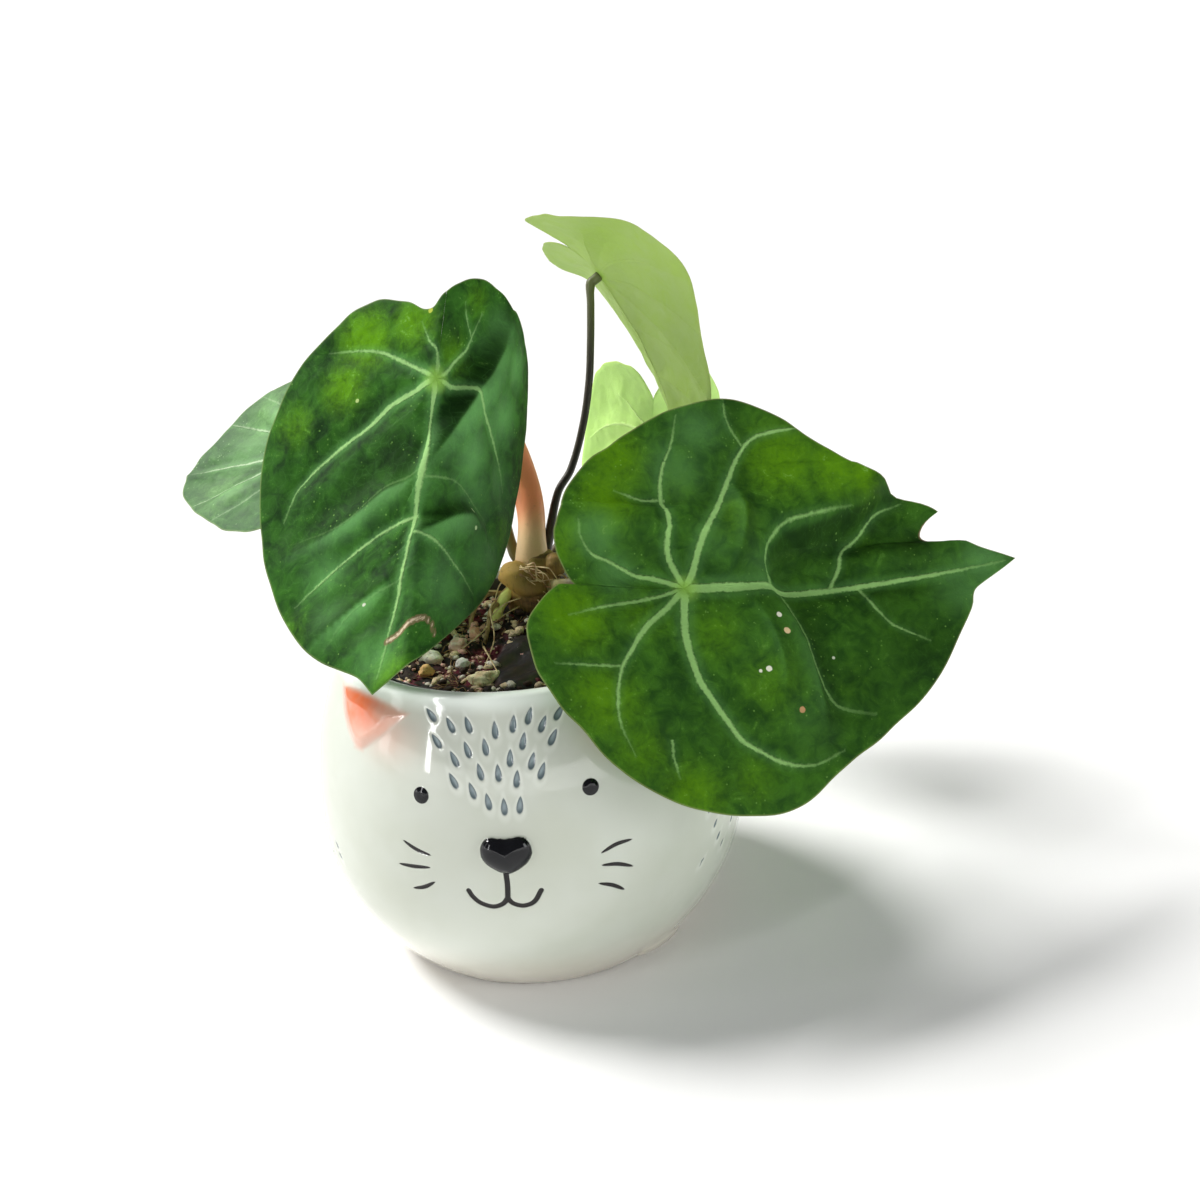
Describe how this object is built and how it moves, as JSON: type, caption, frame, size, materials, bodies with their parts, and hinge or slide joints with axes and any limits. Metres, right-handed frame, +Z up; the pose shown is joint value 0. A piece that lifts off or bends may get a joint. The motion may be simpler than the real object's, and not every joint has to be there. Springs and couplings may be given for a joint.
{
  "type": "potted anthurium",
  "caption": "Young anthurium with velvety dark green heart-shaped leaves and pale veins, in a round white glazed pot with a simple animal face and folded ears.",
  "frame": {"origin": "centre of the pot's flat base, on the surface it stands on", "axes": "+Z up; the animal face looks towards -Y; +X is to the right of someone facing the pot's face"},
  "size_m": [0.2614, 0.189, 0.2082],
  "materials": {
    "glaze": "gloss",
    "plastic": "satin",
    "mix": "matte",
    "pumice": "matte",
    "stem": "satin",
    "stalk": "satin",
    "sheath": "satin",
    "blade": "satin",
    "young_blade": "satin"
  },
  "bodies": {
    "root": {"ceramic_pot": "glaze", "nursery_pot": "plastic", "soil": "mix", "stem": "stem", "pebble_1": "pumice", "pebble_2": "pumice", "pebble_3": "pumice", "pebble_4": "pumice", "pebble_5": "pumice", "pebble_6": "pumice", "pebble_7": "pumice", "pebble_8": "pumice", "pebble_9": "pumice", "pebble_10": "pumice", "leaf_a": "blade", "leaf_b": "blade", "leaf_c": "young_blade", "leaf_d": "young_blade", "leaf_e": "blade", "petiole_a": "sheath", "petiole_b": "stalk", "petiole_c": "stalk", "petiole_d": "stalk", "petiole_e": "stalk"}
  },
  "joints": []
}
